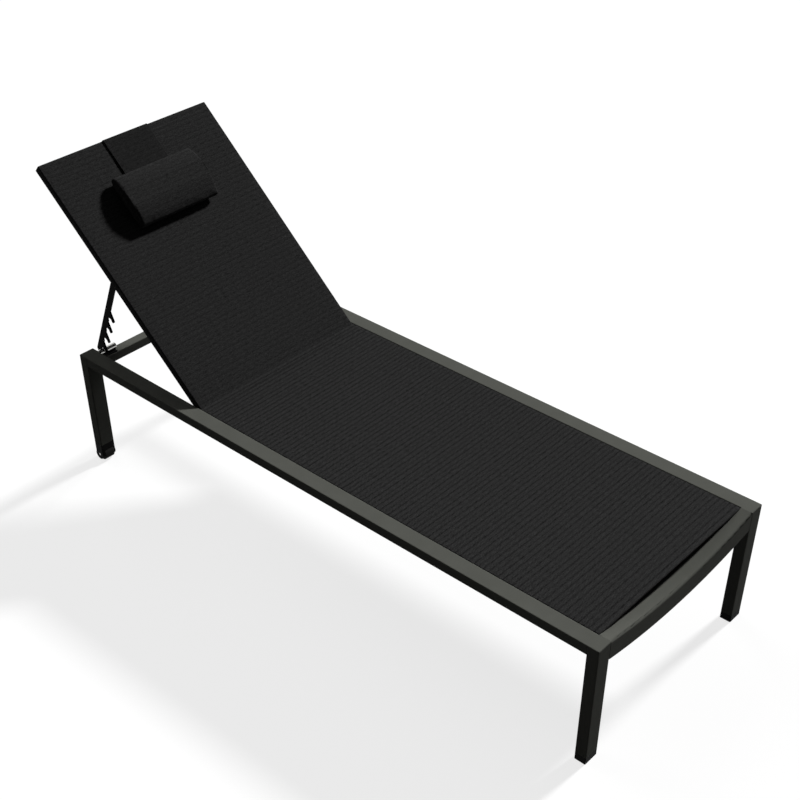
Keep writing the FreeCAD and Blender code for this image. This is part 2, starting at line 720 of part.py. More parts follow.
add_both("rest_buffers", tilted(back_block(buffer_along - buffer_length / 2,
                                           buffer_along + buffer_length / 2,
                                           buffer_middle_y - buffer_width / 2,
                                           buffer_middle_y + buffer_width / 2,
                                           buffer_top - buffer_thickness, buffer_top)))

# ---- Headrest -----------------------------------------------------------------------------

strap_half = strap_width / 2
sling_face = tube_half + sling_thickness
flap_inner = sling_face + part_gap
flap_outer = flap_inner + strap_thickness
loop_inner = flap_outer + part_gap
loop_outer = loop_inner + strap_thickness
loop_end = backrest_length + sling_thickness + part_gap


def strap_loop():
    """Wide strap folded over the backrest's top edge."""
    outside = back_block(0, loop_end + strap_thickness, -strap_half, strap_half, -loop_outer,
                         loop_outer)
    inside = back_block(0, loop_end, -strap_half, strap_half, -loop_inner, loop_inner)
    front_off = back_block(0, strap_front_end, -strap_half, strap_half, 0, loop_outer)
    back_off = back_block(0, strap_back_end, -strap_half, strap_half, -loop_outer, 0)
    return outside.cut([inside, front_off, back_off])


def pillow():
    """Crowned pillow: flat where it rests, thin at its long edges, with upright ends."""
    edge = flap_outer + pillow_edge_lift
    crown = flap_outer + pillow_height
    end_low = flap_outer + pillow_end_lift
    end_high = flap_outer + pillow_end_height
    head_edge = pillow_along + pillow_length / 2
    foot_edge = pillow_along - pillow_length / 2
    half_wide = pillow_width / 2
    flat_wide = half_wide - pillow_end_slope
    crown_arc = Part.Arc(V(foot_edge, edge, 0), V(pillow_along, crown, 0),
                         V(head_edge, edge, 0)).toShape()
    under = Part.makePolygon([V(head_edge, edge, 0), V(pillow_along + pillow_flat / 2, flap_outer, 0),
                              V(pillow_along - pillow_flat / 2, flap_outer, 0),
                              V(foot_edge, edge, 0)])
    along_face = Part.Face(Part.Wire([crown_arc] + under.Edges))
    wide_arc = Part.Arc(V(-half_wide, end_high, 0), V(0, crown, 0),
                        V(half_wide, end_high, 0)).toShape()
    round_under = Part.makePolygon([V(half_wide, end_high, 0), V(half_wide, end_low, 0),
                                    V(flat_wide, flap_outer, 0), V(-flat_wide, flap_outer, 0),
                                    V(-half_wide, end_low, 0), V(-half_wide, end_high, 0)])
    across_face = Part.Face(Part.Wire([wide_arc] + round_under.Edges))
    along_face.Placement = FreeCAD.Placement(V(hinge_x, -half_wide, hinge_z),
                                             FreeCAD.Rotation(V(-1, 0, 0), V(0, 0, 1),
                                                              V(0, 1, 0), "ZXY"))
    across_face.Placement = FreeCAD.Placement(V(hinge_x - head_edge, 0, hinge_z),
                                              FreeCAD.Rotation(V(0, 1, 0), V(0, 0, 1),
                                                               V(1, 0, 0), "ZXY"))
    long_prism = along_face.extrude(V(0, pillow_width, 0))
    cross_prism = across_face.extrude(V(pillow_length, 0, 0))
    return long_prism.common(cross_prism)


add("headrest_strap_loop", tilted(strap_loop()))
add("headrest_flap", tilted(back_block(flap_start, flap_end, -strap_half, strap_half,
                                       flap_inner, flap_outer)))
add("headrest_pillow", tilted(pillow()))
weight_start = weight_along - weight_length / 2
weight_end = weight_along + weight_length / 2
weight_centre = (hinge_x - weight_along, 0, hinge_z - flap_outer - weight_depth / 2)
pouch = back_block(weight_start, weight_end, -strap_half, strap_half,
                   -flap_outer - weight_depth, -flap_outer)
pocket = rod("y", weight_centre, weight_bar_radius + part_gap,
             -weight_bar_length / 2 - part_gap, weight_bar_length / 2 + part_gap)
add("counterweight_strap", tilted(back_block(weight_start, tail_end, -strap_half, strap_half,
                                             -flap_outer, -flap_inner)))
add("counterweight_pouch", tilted(pouch.cut(pocket)))
add("counterweight_bar", tilted(rod("y", weight_centre, weight_bar_radius,
                                    -weight_bar_length / 2, weight_bar_length / 2)))

# ---- Move the origin under the middle of the whole lounger and write the files ------------

whole = Part.makeCompound(list(nodes.values())).BoundBox
to_origin = V(-(whole.XMin + whole.XMax) / 2, 0, 0)
os.makedirs("parts", exist_ok=True)
for name, shape in nodes.items():
    shape.translate(to_origin)
    shape.exportStep("parts/%s.step" % name)
    if not shape.isValid():
        print("not valid:", name)
for name, point in (("hinge", hinge_axis), ("prop pivot", pivot), ("catch pin", catch_pin),
                    ("wheel axle", V(leg_depth / 2, 0, wheel_radius))):
    place = point + to_origin
    print("%s x %.3f z %.3f" % (name, place.x, place.z))
for number in range(notch_count):
    place = notch_centre(number) + to_origin
    print("notch %d x %.3f z %.3f" % (number + 1, place.x, place.z))
print("nodes", len(nodes), "length %.2f height %.2f" % (whole.XLength, whole.ZMax))
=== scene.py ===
import json
import math

import bmesh
import bpy
from mathutils import Matrix, Vector

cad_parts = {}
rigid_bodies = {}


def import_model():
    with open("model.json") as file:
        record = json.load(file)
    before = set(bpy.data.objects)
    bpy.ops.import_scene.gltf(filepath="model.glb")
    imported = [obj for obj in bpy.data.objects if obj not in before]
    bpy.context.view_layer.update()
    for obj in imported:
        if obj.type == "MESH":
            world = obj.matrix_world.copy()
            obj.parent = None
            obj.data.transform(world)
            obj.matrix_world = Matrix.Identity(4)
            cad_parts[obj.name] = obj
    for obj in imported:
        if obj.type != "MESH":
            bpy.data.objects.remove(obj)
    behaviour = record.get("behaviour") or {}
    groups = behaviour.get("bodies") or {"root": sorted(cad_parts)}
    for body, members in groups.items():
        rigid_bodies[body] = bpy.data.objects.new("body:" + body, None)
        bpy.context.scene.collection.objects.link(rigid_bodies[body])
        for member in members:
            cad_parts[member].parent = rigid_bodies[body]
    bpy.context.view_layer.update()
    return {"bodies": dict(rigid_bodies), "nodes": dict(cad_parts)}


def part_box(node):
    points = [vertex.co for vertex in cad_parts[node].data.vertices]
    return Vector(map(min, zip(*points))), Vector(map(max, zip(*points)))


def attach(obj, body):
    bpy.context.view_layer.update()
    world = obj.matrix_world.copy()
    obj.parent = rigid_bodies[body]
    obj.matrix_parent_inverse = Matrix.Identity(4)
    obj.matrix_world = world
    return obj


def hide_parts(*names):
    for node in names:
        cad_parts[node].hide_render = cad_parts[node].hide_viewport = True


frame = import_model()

# Only the lounger's own pieces and bodies stay in the scene.
for leftover in [thing for thing in bpy.data.objects
                 if thing.name not in frame["nodes"] and thing not in frame["bodies"].values()]:
    bpy.data.objects.remove(leftover)

# ---- Camera -------------------------------------------------------------------------------
# Stands past the foot end on the right-hand side, above head height, and looks down along the
# lounger. The shift keeps the upright legs upright in the picture.
eye = bpy.data.cameras.new("eye")
eye.lens = 60.876
eye.sensor_width = 36.0
eye.shift_x = -0.0062
eye.shift_y = 0.1399
eye.clip_end = 100.0
camera = bpy.data.objects.new("camera", eye)
bpy.context.scene.collection.objects.link(camera)
camera.location = (1.9238, -2.0536, 2.2957)
camera.rotation_euler = Vector((-0.5178, 0.5815, -0.6277)).to_track_quat("-Z", "Y").to_euler()
bpy.context.scene.camera = camera
bpy.context.scene.view_settings.view_transform = "Standard"


# ---- Floor and light ----------------------------------------------------------------------
# A white studio floor under a white sky. A lamp beyond the far side lights the tops, a wide weak
# one the head end behind the backrest. The floor throws a little light back on the near sides.
def linear(code):
    """sRGB hex colour as linear red, green, blue and alpha."""
    shares = [int(code[place:place + 2], 16) / 255 for place in (1, 3, 5)]
    return tuple(share / 12.92 if share <= 0.04045 else ((share + 0.055) / 1.055) ** 2.4
                 for share in shares) + (1.0,)


def add_node(tree, kind, inputs=None, **settings):
    """Adds one node, sets it, feeds its inputs with values or with other nodes' outputs."""
    node = tree.nodes.new(kind)
    for name, value in settings.items():
        setattr(node, name, value)
    for socket, value in (inputs or {}).items():
        if isinstance(value, bpy.types.NodeSocket):
            tree.links.new(value, node.inputs[socket])
        else:
            node.inputs[socket].default_value = value
    return node.outputs


def seen_directly(tree):
    """1 for a camera, glossy or transmission ray, 0 for the rays that carry soft light."""
    rays = tree.nodes.new("ShaderNodeLightPath").outputs
    shiny = add_node(tree, "ShaderNodeMath", {0: rays["Is Glossy Ray"],
                                              1: rays["Is Transmission Ray"]},
                     operation="MAXIMUM")[0]
    return add_node(tree, "ShaderNodeMath", {0: rays["Is Camera Ray"], 1: shiny},
                    operation="MAXIMUM")[0]


sky_fill = 0.015
sky = bpy.data.worlds.new("studio sky")
bpy.context.scene.world = sky
sky.use_nodes = True
sky.node_tree.nodes.clear()
sky_strength = add_node(sky.node_tree, "ShaderNodeMapRange",
                        {"Value": seen_directly(sky.node_tree), "To Min": sky_fill,
                         "To Max": 1.0})[0]
sky_light = add_node(sky.node_tree, "ShaderNodeBackground",
                     {"Color": (1.0, 1.0, 1.0, 1.0), "Strength": sky_strength})[0]
add_node(sky.node_tree, "ShaderNodeOutputWorld", {"Surface": sky_light})

for name, strength, spread, heading in (("far side lamp", 4.2, 7, (-0.11, -1.5, -1.0)),
                                        ("head end lamp", 0.75, 50, (1.0, -0.1, -0.75))):
    lamp = bpy.data.lights.new(name, "SUN")
    lamp.energy = strength
    lamp.angle = math.radians(spread)
    lamp_object = bpy.data.objects.new(name, lamp)
    bpy.context.scene.collection.objects.link(lamp_object)
    lamp_object.rotation_euler = Vector(heading).to_track_quat("-Z", "Y").to_euler()

floor_shape = bmesh.new()
bmesh.ops.create_grid(floor_shape, x_segments=1, y_segments=1, size=15.0)
floor_mesh = bpy.data.meshes.new("floor")
floor_shape.to_mesh(floor_mesh)
floor = bpy.data.objects.new("floor", floor_mesh)
bpy.context.scene.collection.objects.link(floor)
floor_paint = bpy.data.materials.new("white studio floor")
floor_paint.use_nodes = True
tree = floor_paint.node_tree
tree.nodes.clear()
white_paint = add_node(tree, "ShaderNodeBsdfDiffuse", {"Color": linear("#8e8e8e")})[0]
white_glow = add_node(tree, "ShaderNodeEmission", {"Color": (1.0, 1.0, 1.0, 1.0),
                                                   "Strength": 0.78})[0]
white_seen = add_node(tree, "ShaderNodeAddShader", {0: white_paint, 1: white_glow})[0]
dull_bounce = add_node(tree, "ShaderNodeBsdfDiffuse", {"Color": linear("#5c5c5c")})[0]
floor_look = add_node(tree, "ShaderNodeMixShader", {0: seen_directly(tree), 1: dull_bounce,
                                                    2: white_seen})[0]
add_node(tree, "ShaderNodeOutputMaterial", {"Surface": floor_look})
floor_mesh.materials.append(floor_paint)


# ---- Aluminium base frame -----------------------------------------------------------------
# Four legs, two side rails, a straight head rail and a bowed foot rail, all of rectangular
# aluminium tube with a fine-textured dark grey powder coat, baked on before they are screwed
# together.
def finish_of(name, metallic=0.0, **sockets):
    """A new material with one Principled shader, and that shader's node."""
    material = bpy.data.materials.new(name)
    material.use_nodes = True
    shader = material.node_tree.nodes["Principled BSDF"]
    shader.inputs["Metallic"].default_value = metallic
    for socket, value in sockets.items():
        shader.inputs[socket.replace("_", " ")].default_value = value
    return material, shader


def mottled(material, shader, low, high, feature, grain, depth):
    """Colour drifts from low to high over feature metres; bumps are grain wide, depth high."""
    tree = material.node_tree
    place = add_node(tree, "ShaderNodeTexCoord")["Object"]
    drift = add_node(tree, "ShaderNodeTexNoise", {"Vector": place, "Scale": 1 / feature,
                                                  "Detail": 4.0, "Roughness": 0.6})[0]
    colour = add_node(tree, "ShaderNodeMix", {0: drift, 6: linear(low), 7: linear(high)},
                      data_type="RGBA")[2]
    tree.links.new(colour, shader.inputs["Base Color"])
    bumps = add_node(tree, "ShaderNodeTexNoise", {"Vector": place, "Scale": 1 / grain,
                                                  "Detail": 2.0})[0]
    relief = add_node(tree, "ShaderNodeBump", {"Height": bumps, "Distance": depth,
                                               "Strength": 0.6})[0]
    tree.links.new(relief, shader.inputs["Normal"])
    even = shader.inputs["Roughness"].default_value
    wear = add_node(tree, "ShaderNodeMapRange", {"Value": drift, "To Min": even - 0.06,
                                                 "To Max": even + 0.06})[0]
    tree.links.new(wear, shader.inputs["Roughness"])


def paint_nodes(material, *names):
    """Puts a material in the slots of CAD nodes."""
    for name in names:
        mesh = frame["nodes"][name].data
        mesh.materials.clear()
        mesh.materials.append(material)


# Fine-textured polyester powder coat: an even matte that turns slightly lighter where the lamp
# grazes its 0.6 mm grain; its dark grey has a faint warm olive cast.
powder_coat, shader = finish_of("fine textured powder coat", Roughness=0.55,
                                Specular_IOR_Level=0.006)
mottled(powder_coat, shader, "#555651", "#5e5f5a", 0.05, 0.0012, 0.00012)
paint_nodes(powder_coat, "side_rail_left", "side_rail_right", "head_rail", "foot_rail",
            "leg_head_left", "leg_head_right", "leg_foot_left", "leg_foot_right", "leg_top_caps",
            "seat_spreader_1", "seat_spreader_2", "seat_spreader_3")

# ---- Plastic feet, corner blocks and plugs ------------------------------------------------
# Injection-moulded black polypropylene: feet pushed into the legs, blocks inside the corners,
# and plugs with pegs in the ends of the seat spreaders. Spark-eroded moulds leave a fine grain.
moulded_plastic, shader = finish_of("moulded black polypropylene", Roughness=0.5,
                                    Specular_IOR_Level=0.015)
mottled(moulded_plastic, shader, "#161616", "#1c1c1c", 0.03, 0.0009, 0.00008)
paint_nodes(moulded_plastic, "foot_caps", "corner_blocks_head", "corner_blocks_foot",
            "spreader_plugs", "seat_splines", "hinge_spacers", "hinge_bushes", "prop_bushes",
            "prop_spacers", "back_hinge_ends")

# ---- Screws, bolts and nuts ---------------------------------------------------------------
# Screws go through the rails into the corner blocks, bolts with nuts carry the backrest and the
# props, and a bar weights the strap's tail. All are bare stainless steel.

# Stainless steel, cold headed and tumbled: a soft grey gloss with a faint blur.
bare_steel, shader = finish_of("tumbled stainless steel", 1.0, Roughness=0.34)
mottled(bare_steel, shader, "#8d8d8b", "#a4a4a1", 0.02, 0.0008, 0.00003)
paint_nodes(bare_steel, "frame_screws", "hinge_bolts", "hinge_nuts", "prop_pivot_bolts",
            "prop_pivot_nuts", "counterweight_bar")

# ---- Wheels in the head legs --------------------------------------------------------------
# A small solid rubber roller in a moulded housing in the foot of each head leg, on a steel axle.
# The rubber is moulded and slightly dusty; the axle is turned bright.
paint_nodes(moulded_plastic, "wheel_housing_left", "wheel_housing_right")
roller_rubber, shader = finish_of("dusty solid rubber", Roughness=0.72, Specular_IOR_Level=0.06)
mottled(roller_rubber, shader, "#1d1d1c", "#2c2b29", 0.012, 0.0008, 0.0001)
paint_nodes(roller_rubber, "wheel_left", "wheel_right", "rest_buffers")
turned_steel, shader = finish_of("turned bright steel", 1.0, Roughness=0.26)
mottled(turned_steel, shader, "#a9a9a6", "#bebebb", 0.015, 0.0006, 0.00002)
paint_nodes(turned_steel, "wheel_axles", "catch_pins")

# ---- Backrest catches and props -----------------------------------------------------------
# Two flat steel racks hang from the backrest and drop over the catch pins. The plates are laser
# cut and dip painted black; the cross tube welded between them turns both together.
paint_nodes(moulded_plastic, "catch_bracket_left", "catch_bracket_right")
dipped_paint, shader = finish_of("dipped black paint on steel", Roughness=0.42,
                                 Specular_IOR_Level=0.006)
mottled(dipped_paint, shader, "#090909", "#0f0f0f", 0.02, 0.002, 0.00006)
paint_nodes(dipped_paint, "prop_rack_left", "prop_rack_right", "prop_cross_tube",
            "cross_tube_ends")

# ---- Backrest frame -----------------------------------------------------------------------
# Oval-cornered aluminium tubes in the same powder coat, all hidden in the cloth sleeve except
# from behind.
paint_nodes(powder_coat, "back_side_tube_left", "back_side_tube_right", "back_top_tube",
            "back_bottom_tube", "back_mid_tube")

# ---- Seat cloth ---------------------------------------------------------------------------
# Black polyester mesh, its yarns coated in PVC, woven in bands of three ribs that cross the seat.
# It is stretched between beads in the side rails, with a folded hem at each end.
rib_repeat = 0.0402
# Brightness at places along one repeat, in millimetres: three ribs, with painted shade in the
# grooves between them.
rib_shade_levels = ((0, 0.80), (4.5, 0.98), (8.0, 0.84), (9.6, 0.28), (11.4, 0.28), (13.0, 0.84),
              (17.8, 1.04), (22.6, 0.86), (24.1, 0.22), (25.9, 0.22), (27.4, 0.84), (32.0, 0.98),
              (36.4, 0.80), (37.7, 0.44), (39.4, 0.44), (40.2, 0.80))
# Their height as one, two and three waves to the repeat, each with its share and lag in degrees.
rib_waves = ((0.82, 12), (1.54, 26), (2.73, -130))
rib_relief = 0.00018
# The cloth is cut across this often, eighteen times to the repeat, to carry the ribs' height.
rib_cut = 0.00223


def rib_height(along):
    """Height of the ribs above their mean, in metres, at a place along the cloth."""
    turn = 2 * math.pi * along / rib_repeat
    highest = 3.9
    return rib_relief * sum(size * math.cos(turn * (number + 1) + math.radians(lag))
                            for number, (size, lag) in enumerate(rib_waves)) / highest


yarn_pitch = 0.0048


def woven_mesh(name, rib_shade_share, dark, pale):
    """PVC coated mesh on the map "cloth": ribs, with painted shade in the grooves, at the share
    given, and yarns.
    """
    material, shader = finish_of(name, Roughness=0.62, Specular_IOR_Level=0.006)
    tree = material.node_tree

    def reckon(operation, *terms):
        return add_node(tree, "ShaderNodeMath", dict(enumerate(terms)), operation=operation)[0]

    cloth_place = add_node(tree, "ShaderNodeUVMap", uv_map="cloth")[0]
    across_along = add_node(tree, "ShaderNodeSeparateXYZ", {0: cloth_place})
    share = reckon("FRACT", reckon("DIVIDE", across_along["Y"], rib_repeat))
    ramp = tree.nodes.new("ShaderNodeValToRGB")
    stops = ramp.color_ramp.elements
    repeat_millimetres = 1000 * rib_repeat
    for number, (millimetres, level) in enumerate(rib_shade_levels):
        place = millimetres / repeat_millimetres
        stop = stops[number] if number < 2 else stops.new(place)
        stop.position = place
        stop.color = (level, level, level, 1.0)
    tree.links.new(share, ramp.inputs[0])
    # The ramp's dark grooves are painted shade; the share fades them towards an even mid tone.
    ribs = reckon("MULTIPLY_ADD", ramp.outputs[0], rib_shade_share, 0.85 * (1 - rib_shade_share))
    yarn_turns = [reckon("SINE", reckon("MULTIPLY_ADD", across_along[side],
                                        2 * math.pi / yarn_pitch, lag))
                  for side, lag in (("X", 0.0), ("Y", 0.7))]
    yarn = reckon("MULTIPLY", *yarn_turns)
    streaks_place = add_node(tree, "ShaderNodeMapping", {"Vector": cloth_place,
                                                         "Scale": (70.0, 420.0, 1.0)})[0]
    streaks = add_node(tree, "ShaderNodeTexNoise", {"Vector": streaks_place, "Scale": 1.0,
                                                    "Detail": 3.0, "Roughness": 0.75})[0]
    grain = add_node(tree, "ShaderNodeTexNoise", {"Vector": cloth_place, "Scale": 330.0,
                                                  "Detail": 2.0, "Roughness": 0.8})[0]
    speckle = reckon("MULTIPLY_ADD", reckon("ADD", streaks, grain), 2.8, -2.8)
    weave = reckon("ADD", reckon("MULTIPLY_ADD", yarn, 0.36, speckle), ribs)
    colour = add_node(tree, "ShaderNodeMix", {0: weave, 6: linear(dark), 7: linear(pale)},
                      data_type="RGBA", clamp_factor=False)[2]
    tree.links.new(colour, shader.inputs["Base Color"])
    relief = add_node(tree, "ShaderNodeBump", {"Height": weave, "Distance": 0.00025,
                                               "Strength": 0.6})[0]
    tree.links.new(relief, shader.inputs["Normal"])
    return material


# PVC-coated polyester mesh: matte, nearly black, with painted shade in the grooves between its
# ribs. The real 1 mm yarns are too fine to show, so they are drawn 4.8 mm apart.
seat_mesh = woven_mesh("PVC coated polyester mesh", 0.8, "#141414", "#2f2f2f")
# The same mesh drawn tight over the backrest tubes, with its painted groove shade at less than
# half the seat's strength, so the ribs hardly show.
back_mesh = woven_mesh("PVC coated mesh with faint groove shade", 0.32, "#141414", "#2f2f2f")
# The same mesh doubled for the strap, its colours painted darker: painted shade for the light
# that two layers keep from coming through.
shaded_strap_mesh = woven_mesh("doubled PVC coated mesh, painted darker", 0.25, "#121212", "#272727")

# Twisted polyester sewing thread: a tight black cord with a faint sheen, sunk into the cloth.
sewing_thread, shader = finish_of("black polyester thread", Roughness=0.5,
                                  Specular_IOR_Level=0.05)
mottled(sewing_thread, shader, "#222221", "#2b2b2a", 0.004, 0.0008, 0.0001)


def put_in_scene(name, shape, body, *materials):
    """Makes an object of a bmesh, smooth apart from its sharp edges, and rides it on a body."""
    mesh = bpy.data.meshes.new(name)
    shape.to_mesh(mesh)
    shape.free()
    mesh.shade_smooth()
    mesh.set_sharp_from_angle(angle=math.radians(40))
    for material in materials:
        mesh.materials.append(material)
    thing = bpy.data.objects.new(name, mesh)
    bpy.context.scene.collection.objects.link(thing)
    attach(thing, body)
    return thing


def lay_cloth_map(shape, top, high):
    """Writes the cloth's own map in metres: across, and along, carried on over the folds."""
    layer = shape.loops.layers.uv.new("cloth")
    for face in shape.faces:
        facing = face.normal
        for loop in face.loops:
            spot = loop.vert.co
            across = spot.y
            along = spot.x
            if abs(facing.y) > 0.75:
                across = spot.y + math.copysign(high - spot.z, spot.y)
            if abs(facing.x) > 0.75:
                along = spot.x - math.copysign(high - spot.z, top)
            loop[layer].uv = (across, along)


def give_thickness(thing):
    """Gives a sheet its thickness, inwards from the modelled face."""
    wall = thing.modifiers.new("thickness", "SOLIDIFY")
    wall.thickness = cloth_thickness
    wall.offset = -1.0
    wall.use_even_offset = True


def cut_across(shape, place, axis):
    """Cuts the whole shape at a place on the X axis (0) or the Y axis (1)."""
    spot, facing = Vector(), Vector()
    spot[axis], facing[axis] = place, 1
    bmesh.ops.bisect_plane(shape, geom=shape.verts[:] + shape.edges[:] + shape.faces[:],
                           plane_co=spot, plane_no=facing, dist=1e-6)


def sew(shape, start, end):
    """A row of stitches from start to end, each a small sunk lozenge of thread."""
    start, end = Vector(start), Vector(end)
    run = end - start
    count = max(2, round(run.length / stitch_pitch))
    turn = run.to_track_quat("X", "Z").to_matrix().to_4x4()
    for number in range(count):
        spot = start + run * ((number + 0.5) / count)
        bmesh.ops.create_icosphere(
            shape, subdivisions=1, radius=1.0,
            matrix=Matrix.Translation(spot) @ turn
            @ Matrix.Diagonal((0.0019, 0.00055, 0.0004, 1.0)))


def let_out(shape, edges, steps):
    """Carries a row of open edges on in steps along X and Z, for a fold."""
    for step in steps:
        grown = bmesh.ops.extrude_edge_only(shape, edges=edges)["geom"]
        fresh = [item for item in grown if isinstance(item, bmesh.types.BMVert)]
        bmesh.ops.translate(shape, verts=fresh, vec=(step[0], 0, step[1]))
        edges = [item for item in grown if isinstance(item, bmesh.types.BMEdge)
                 and all(vert in fresh for vert in item.verts)]


cloth_thickness = 0.0012
stitch_pitch = 0.005
seat_low, seat_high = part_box("seat_sling")
seat_high.x += 0.0002
seat_low.x -= 0.0035
seat_top = seat_high.z
hem_depth = 0.025
hem_drop = 0.0014
channel_cuts = (0.2790, 0.2796, 0.2802, 0.2810)
channel_edge = 0.281
channel_dip = 0.0015
seat_rise = 0.0038
seat_sag = 0.0025
sag_run = 0.22
seat_length = seat_high.x - seat_low.x
seat_half = seat_high.y
seat_shape = bmesh.new()
bmesh.ops.create_grid(
    seat_shape, x_segments=int(seat_length / rib_cut), y_segments=28, size=0.5,
    matrix=Matrix.Translation(((seat_low.x + seat_high.x) / 2, 0, seat_top))
    @ Matrix.Diagonal((seat_length, 2 * seat_half, 1, 1)))
for side in (-1, 1):
    for place in channel_cuts:
        cut_across(seat_shape, side * place, 1)
for vert in seat_shape.verts:
    middle = 1 - (vert.co.y / seat_half) ** 2
    from_foot = min(1.0, (seat_high.x - vert.co.x) / sag_run)
    from_head = min(1.0, (vert.co.x - seat_low.x) / sag_run)
    ease = from_foot * from_foot * (3 - 2 * from_foot) * (0.4 + 0.6 * from_head)
    tight = max(0.0, min(1.0, (channel_edge - abs(vert.co.y)) / channel_dip))
    tight = tight * tight * (3 - 2 * tight)
    vert.co.z += (rib_height(vert.co.x) - rib_relief + seat_rise) * tight
    vert.co.z -= seat_sag * middle * ease
foot_fold = ((0.0005, -0.0012), (0.0002, -0.0030), (0, -0.0032), (-0.0006, -0.0020),
             (-0.0022, -0.0006), (-0.0080, 0.0044), (-0.0140, 0.0056))
head_fold = ((0, -hem_drop), (hem_depth, 0))
for end, fold in ((seat_high.x, foot_fold), (seat_low.x, head_fold)):
    let_out(seat_shape, [edge for edge in seat_shape.edges if edge.is_boundary
                         and all(abs(vert.co.x - end) < 1e-5 for vert in edge.verts)], fold)
# Over the foot rail's ledge the fold is less deep than at its two ends.
hem_line = seat_top + seat_rise
ledge_half = 0.225
ledge_share = 0.58
for vert in seat_shape.verts:
    if vert.co.x > 0.8 and vert.co.z < hem_line - 0.0008:
        shallow = max(0.0, min(1.0, (ledge_half - abs(vert.co.y)) / 0.03))
        vert.co.z = hem_line + (vert.co.z - hem_line) * (1 - ledge_share * shallow)
bmesh.ops.recalc_face_normals(seat_shape, faces=seat_shape.faces[:])
lay_cloth_map(seat_shape, 1.0, seat_top)
seat_cloth = put_in_scene("seat_cloth", seat_shape, "base", seat_mesh)
give_thickness(seat_cloth)
seat_stitches = bmesh.new()
row_half = seat_half - 0.010
row_lift = hem_line - 0.0003
for end, inwards in ((seat_high.x, -1), (seat_low.x, 1)):
    for inset in (0.0195, 0.0225):
        row = end + inwards * inset
        sew(seat_stitches, (row, -row_half, row_lift), (row, row_half, row_lift))
seat_thread = put_in_scene("seat_stitches", seat_stitches, "base", sewing_thread)
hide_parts("seat_sling")

# ---- Backrest cloth -----------------------------------------------------------------------
# The same mesh sewn into a flat sleeve: it is pulled over the side and top tubes and hemmed
# behind them, so the front is one tight panel with rounded edges.
hinge = Vector((-0.353525, 0, 0.332))
lean = Matrix.Translation(hinge) @ Matrix.Rotation(math.radians(42), 4, "Y")
sleeve_top = 0.7392
sleeve_foot = -0.001
sleeve_half = 0.2800
sleeve_lift = 0.0112
sleeve_round = 0.0032
sleeve_hem = 0.0195
sleeve_cut = 0.0232
back_sag = 0.0018
sleeve = bmesh.new()
bmesh.ops.create_cube(
    sleeve, size=1.0,
    matrix=Matrix.Translation((-(sleeve_top + sleeve_foot) / 2, 0, 0))
    @ Matrix.Diagonal((sleeve_top - sleeve_foot, 2 * sleeve_half, 2 * sleeve_lift, 1)))
bmesh.ops.delete(sleeve, geom=[face for face in sleeve.faces if face.normal.x > 0.9],
                 context="FACES_ONLY")
long_edges = [edge for edge in sleeve.edges if not edge.is_boundary]
bmesh.ops.bevel(sleeve, geom=long_edges, affect="EDGES", offset=sleeve_round, segments=4,
                profile=0.5, material=-1)
behind = [face for face in sleeve.faces if face.normal.z < -0.99]
bmesh.ops.inset_region(sleeve, faces=behind, thickness=sleeve_hem - sleeve_round,
                       use_boundary=False)
bmesh.ops.delete(sleeve, geom=[face for face in sleeve.faces
                               if face.normal.z < -0.99 and face.calc_area() > 0.2],
                 context="FACES")
foot_edges = [edge for edge in sleeve.edges if edge.is_boundary
              and all(vert.co.z > sleeve_lift - 1e-5 for vert in edge.verts)]
let_out(sleeve, foot_edges,
        ((0.0020, -0.0016), (0.0008, -0.0036), (0, -0.0060), (-0.0008, -0.0070),
         (-0.0050, -0.0036), (-0.0120, -0.0008), (-0.0190, 0)))
for number in range(1, int((sleeve_top - sleeve_foot) / rib_cut)):
    cut_across(sleeve, -sleeve_foot - number * rib_cut, 0)
for number in range(-11, 12):
    cut_across(sleeve, number * sleeve_cut, 1)
lay_cloth_map(sleeve, -1.0, sleeve_lift)
# Between the side tubes, and clear of the top and bottom tubes, the cloth hangs a little hollow.
tube_edge = 0.2555
hollow_foot = 0.03
hollow_top = 0.718
hollow_run = 0.15
for vert in sleeve.verts:
    along = -vert.co.x
    if vert.co.z > sleeve_lift - 1e-4:
        vert.co.z += rib_height(vert.co.x) - rib_relief
        if abs(vert.co.y) < tube_edge and along < hollow_top:
            middle = 1 - (vert.co.y / tube_edge) ** 2
            reach = max(0.0, min(1.0, (along - hollow_foot) / hollow_run,
                                 (hollow_top - along) / hollow_run))
            vert.co.z -= back_sag * middle * reach * reach * (3 - 2 * reach)
sleeve.transform(lean)
back_cloth = put_in_scene("backrest_cloth", sleeve, "backrest", back_mesh)
give_thickness(back_cloth)
# The top row stops at each edge of the strap, which lies over the middle of it.
back_stitches = bmesh.new()
seam_side = 0.2585
seam_top = 0.7195
seam_stop = 0.0765
seam_lift = sleeve_lift - 0.0002
for side in (-1, 1):
    sew(back_stitches, (-0.004, side * seam_side, seam_lift),
        (-seam_top, side * seam_side, seam_lift))
for side in (-1, 1):
    sew(back_stitches, (-seam_top, side * seam_side, seam_lift),
        (-seam_top, side * seam_stop, seam_lift))
back_stitches.transform(lean)
back_thread = put_in_scene("backrest_stitches", back_stitches, "backrest", sewing_thread)
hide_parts("back_sling")

